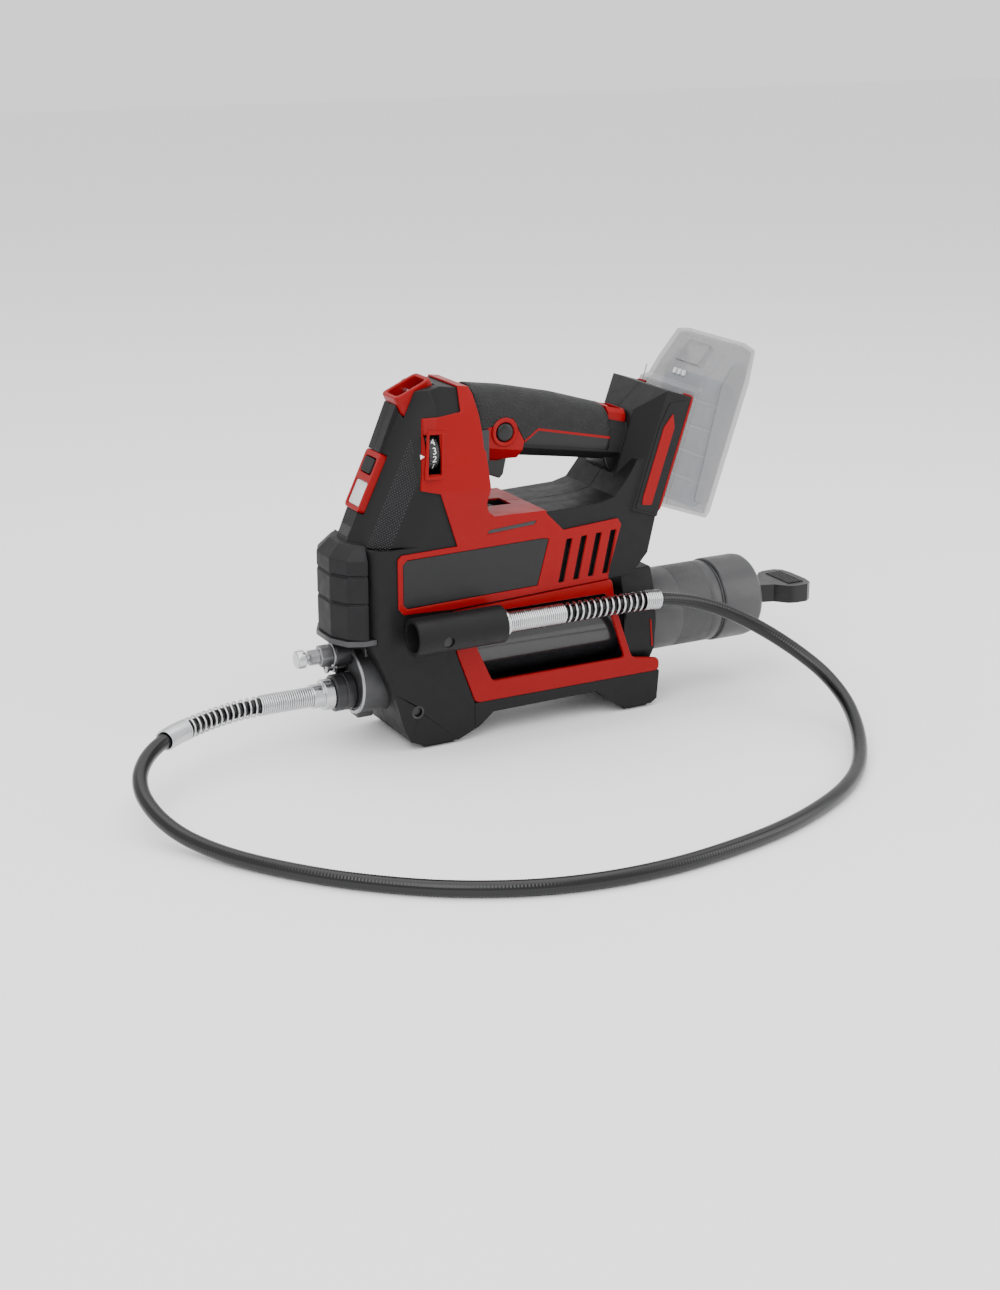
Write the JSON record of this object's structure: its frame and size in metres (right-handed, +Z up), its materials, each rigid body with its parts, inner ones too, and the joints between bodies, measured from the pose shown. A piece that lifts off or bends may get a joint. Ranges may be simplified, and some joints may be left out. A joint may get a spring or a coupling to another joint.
{
  "type": "grease gun",
  "caption": "Cordless grease gun: D-handle body on a moulded cradle, grease barrel with follower rod, geared plunger pump, slide-on battery, and a flexible hose with its coupler parked.",
  "frame": {"origin": "centre of the front foot's underside, on the floor", "axes": "+X to the rear, along the barrel towards its end cap; +Y to the tool's right; +Z up"},
  "size_m": [0.5742, 0.3392, 0.2698],
  "materials": {
    "black_plastic": "fine matt texture",
    "red_plastic": "satin, moulded in colour",
    "rubber": "matt, softly textured",
    "dark_metal": "satin black coat",
    "gunmetal": "dark satin casting",
    "steel": "bright, lightly brushed",
    "spring_steel": "bright wire",
    "sleeve_grey": "fine lined grip",
    "lamp_clear": "frosted clear",
    "pack_clear": "frosted pale grey",
    "cell_wrap": "shrink wrap",
    "copper": "copper windings",
    "brass": "plated contacts",
    "board": "circuit board"
  },
  "bodies": {
    "housing": {"left_shell": "black_plastic", "right_shell": "black_plastic", "left_cover": "red_plastic", "right_cover": "red_plastic", "badge_plates": "black_plastic", "grip_sleeve": "rubber", "cradle_base": "black_plastic", "left_cradle_frame": "red_plastic", "right_cradle_frame": "red_plastic", "foot_pads": "rubber", "rear_saddle": "black_plastic", "front_eyelet": "red_plastic", "rear_eyelet": "red_plastic", "strap_pins": "steel", "lamp_bezel": "red_plastic", "lamp_lens": "lamp_clear", "bumper": "rubber", "gear_case": "gunmetal", "pump_head": "gunmetal", "outlet_swivel": "dark_metal", "outlet_ferrule": "steel", "outlet_spring": "spring_steel", "hose": "rubber", "coupler_spring": "spring_steel", "coupler": "steel", "coupler_holder": "black_plastic", "bleeder_body": "gunmetal", "fill_nipple": "steel", "trigger_spring": "spring_steel", "switch_module": "black_plastic", "dock_terminals": "brass", "dock_rim": "red_plastic", "motor_stator": "copper", "motor_bearings": "steel", "ring_gear": "steel", "control_board": "board", "screws": "steel"},
    "lamp_button_body": {"lamp_button": "rubber"},
    "bleeder_valve": {"bleeder_tip": "steel"},
    "barrel": {"barrel_tube": "dark_metal", "barrel_sleeve": "sleeve_grey", "end_cap": "sleeve_grey", "main_spring": "spring_steel"},
    "follower": {"follower_rod": "steel", "t_handle": "black_plastic", "follower_piston": "steel"},
    "trigger_body": {"trigger": "black_plastic"},
    "lock_off": {"lock_off_button": "black_plastic"},
    "lock_slide": {"lock_lever": "black_plastic"},
    "dial": {"speed_dial": "black_plastic"},
    "slider": {"mode_slider": "black_plastic"},
    "battery": {"battery_shell": "pack_clear", "battery_cells": "cell_wrap"},
    "pack_latch": {"battery_latch": "pack_clear"},
    "rotor": {"motor_rotor": "steel"},
    "carrier": {"crank_carrier": "steel"},
    "planet_1": {"planet_gear_1": "steel"},
    "planet_2": {"planet_gear_2": "steel"},
    "planet_3": {"planet_gear_3": "steel"},
    "plunger": {"pump_yoke": "steel"}
  },
  "joints": [
    {"name": "trigger_pull", "type": "hinge", "parent": "housing", "child": "trigger_body", "pos_m": [0.043, 0, 0.206], "axis": [0, -1, 0], "range_deg": [0, 12], "stiffness_Nm_per_rad": 0.8, "springref_deg": -5.73, "deforming": ["trigger_spring"]},
    {"name": "lock_off_push", "type": "slide", "parent": "housing", "child": "lock_off", "axis": [0, 1, 0], "range_m": [0, 0.004]},
    {"name": "lock_lever_slide", "type": "slide", "parent": "housing", "child": "lock_slide", "axis": [0, 0, -1], "range_m": [0, 0.005]},
    {"name": "speed_dial_turn", "type": "hinge", "parent": "housing", "child": "dial", "pos_m": [-0.0025, -0.0215, 0.213], "axis": [1, 0, 0], "range_deg": [-60, 60]},
    {"name": "mode_slide", "type": "slide", "parent": "housing", "child": "slider", "axis": [1, 0, 0], "range_m": [0, 0.008]},
    {"name": "lamp_press", "type": "slide", "parent": "housing", "child": "lamp_button_body", "axis": [0.9033, 0, -0.4289], "range_m": [0, 0.0012], "stiffness_N_per_m": 600, "springref_m": -0.0005},
    {"name": "bleeder_press", "type": "slide", "parent": "housing", "child": "bleeder_valve", "axis": [1, 0, 0], "range_m": [0, 0.002], "stiffness_N_per_m": 900, "springref_m": -0.001},
    {"name": "battery_slide", "type": "slide", "parent": "housing", "child": "battery", "axis": [0.309, 0, 0.9511], "range_m": [0, 0.09]},
    {"name": "battery_latch_press", "type": "slide", "parent": "battery", "child": "pack_latch", "axis": [0.759, 0, -0.651], "range_m": [0, 0.003], "stiffness_N_per_m": 700, "springref_m": -0.001},
    {"name": "barrel_turn", "type": "hinge", "parent": "housing", "child": "barrel", "pos_m": [0, 0, 0.0645], "axis": [1, 0, 0], "continuous": true},
    {"name": "follower_pull", "type": "slide", "parent": "barrel", "child": "follower", "axis": [1, 0, 0], "range_m": [0, 0.19], "stiffness_N_per_m": 110, "springref_m": -0.15, "deforming": ["main_spring"]},
    {"name": "rotor_spin", "type": "hinge", "parent": "housing", "child": "rotor", "pos_m": [0, 0, 0.124], "axis": [1, 0, 0], "continuous": true},
    {"name": "carrier_spin", "type": "hinge", "parent": "housing", "child": "carrier", "pos_m": [0, 0, 0.124], "axis": [1, 0, 0], "continuous": true},
    {"name": "plunger_stroke", "type": "slide", "parent": "housing", "child": "plunger", "axis": [0, 0, 1], "range_m": [-0.007, 0.007]},
    {"name": "planet_1_spin", "type": "hinge", "parent": "carrier", "child": "planet_1", "pos_m": [-0.0175, 0.012, 0.124], "axis": [1, 0, 0], "continuous": true},
    {"name": "planet_2_spin", "type": "hinge", "parent": "carrier", "child": "planet_2", "pos_m": [-0.0175, -0.006, 0.13439], "axis": [1, 0, 0], "continuous": true},
    {"name": "planet_3_spin", "type": "hinge", "parent": "carrier", "child": "planet_3", "pos_m": [-0.0175, -0.006, 0.11361], "axis": [1, 0, 0], "continuous": true}
  ],
  "couplings": [
    {"joint": "carrier_spin", "follows": "rotor_spin", "ratio": 0.2},
    {"joint": "planet_1_spin", "follows": "rotor_spin", "ratio": -0.53333},
    {"joint": "planet_2_spin", "follows": "rotor_spin", "ratio": -0.53333},
    {"joint": "planet_3_spin", "follows": "rotor_spin", "ratio": -0.53333}
  ]
}
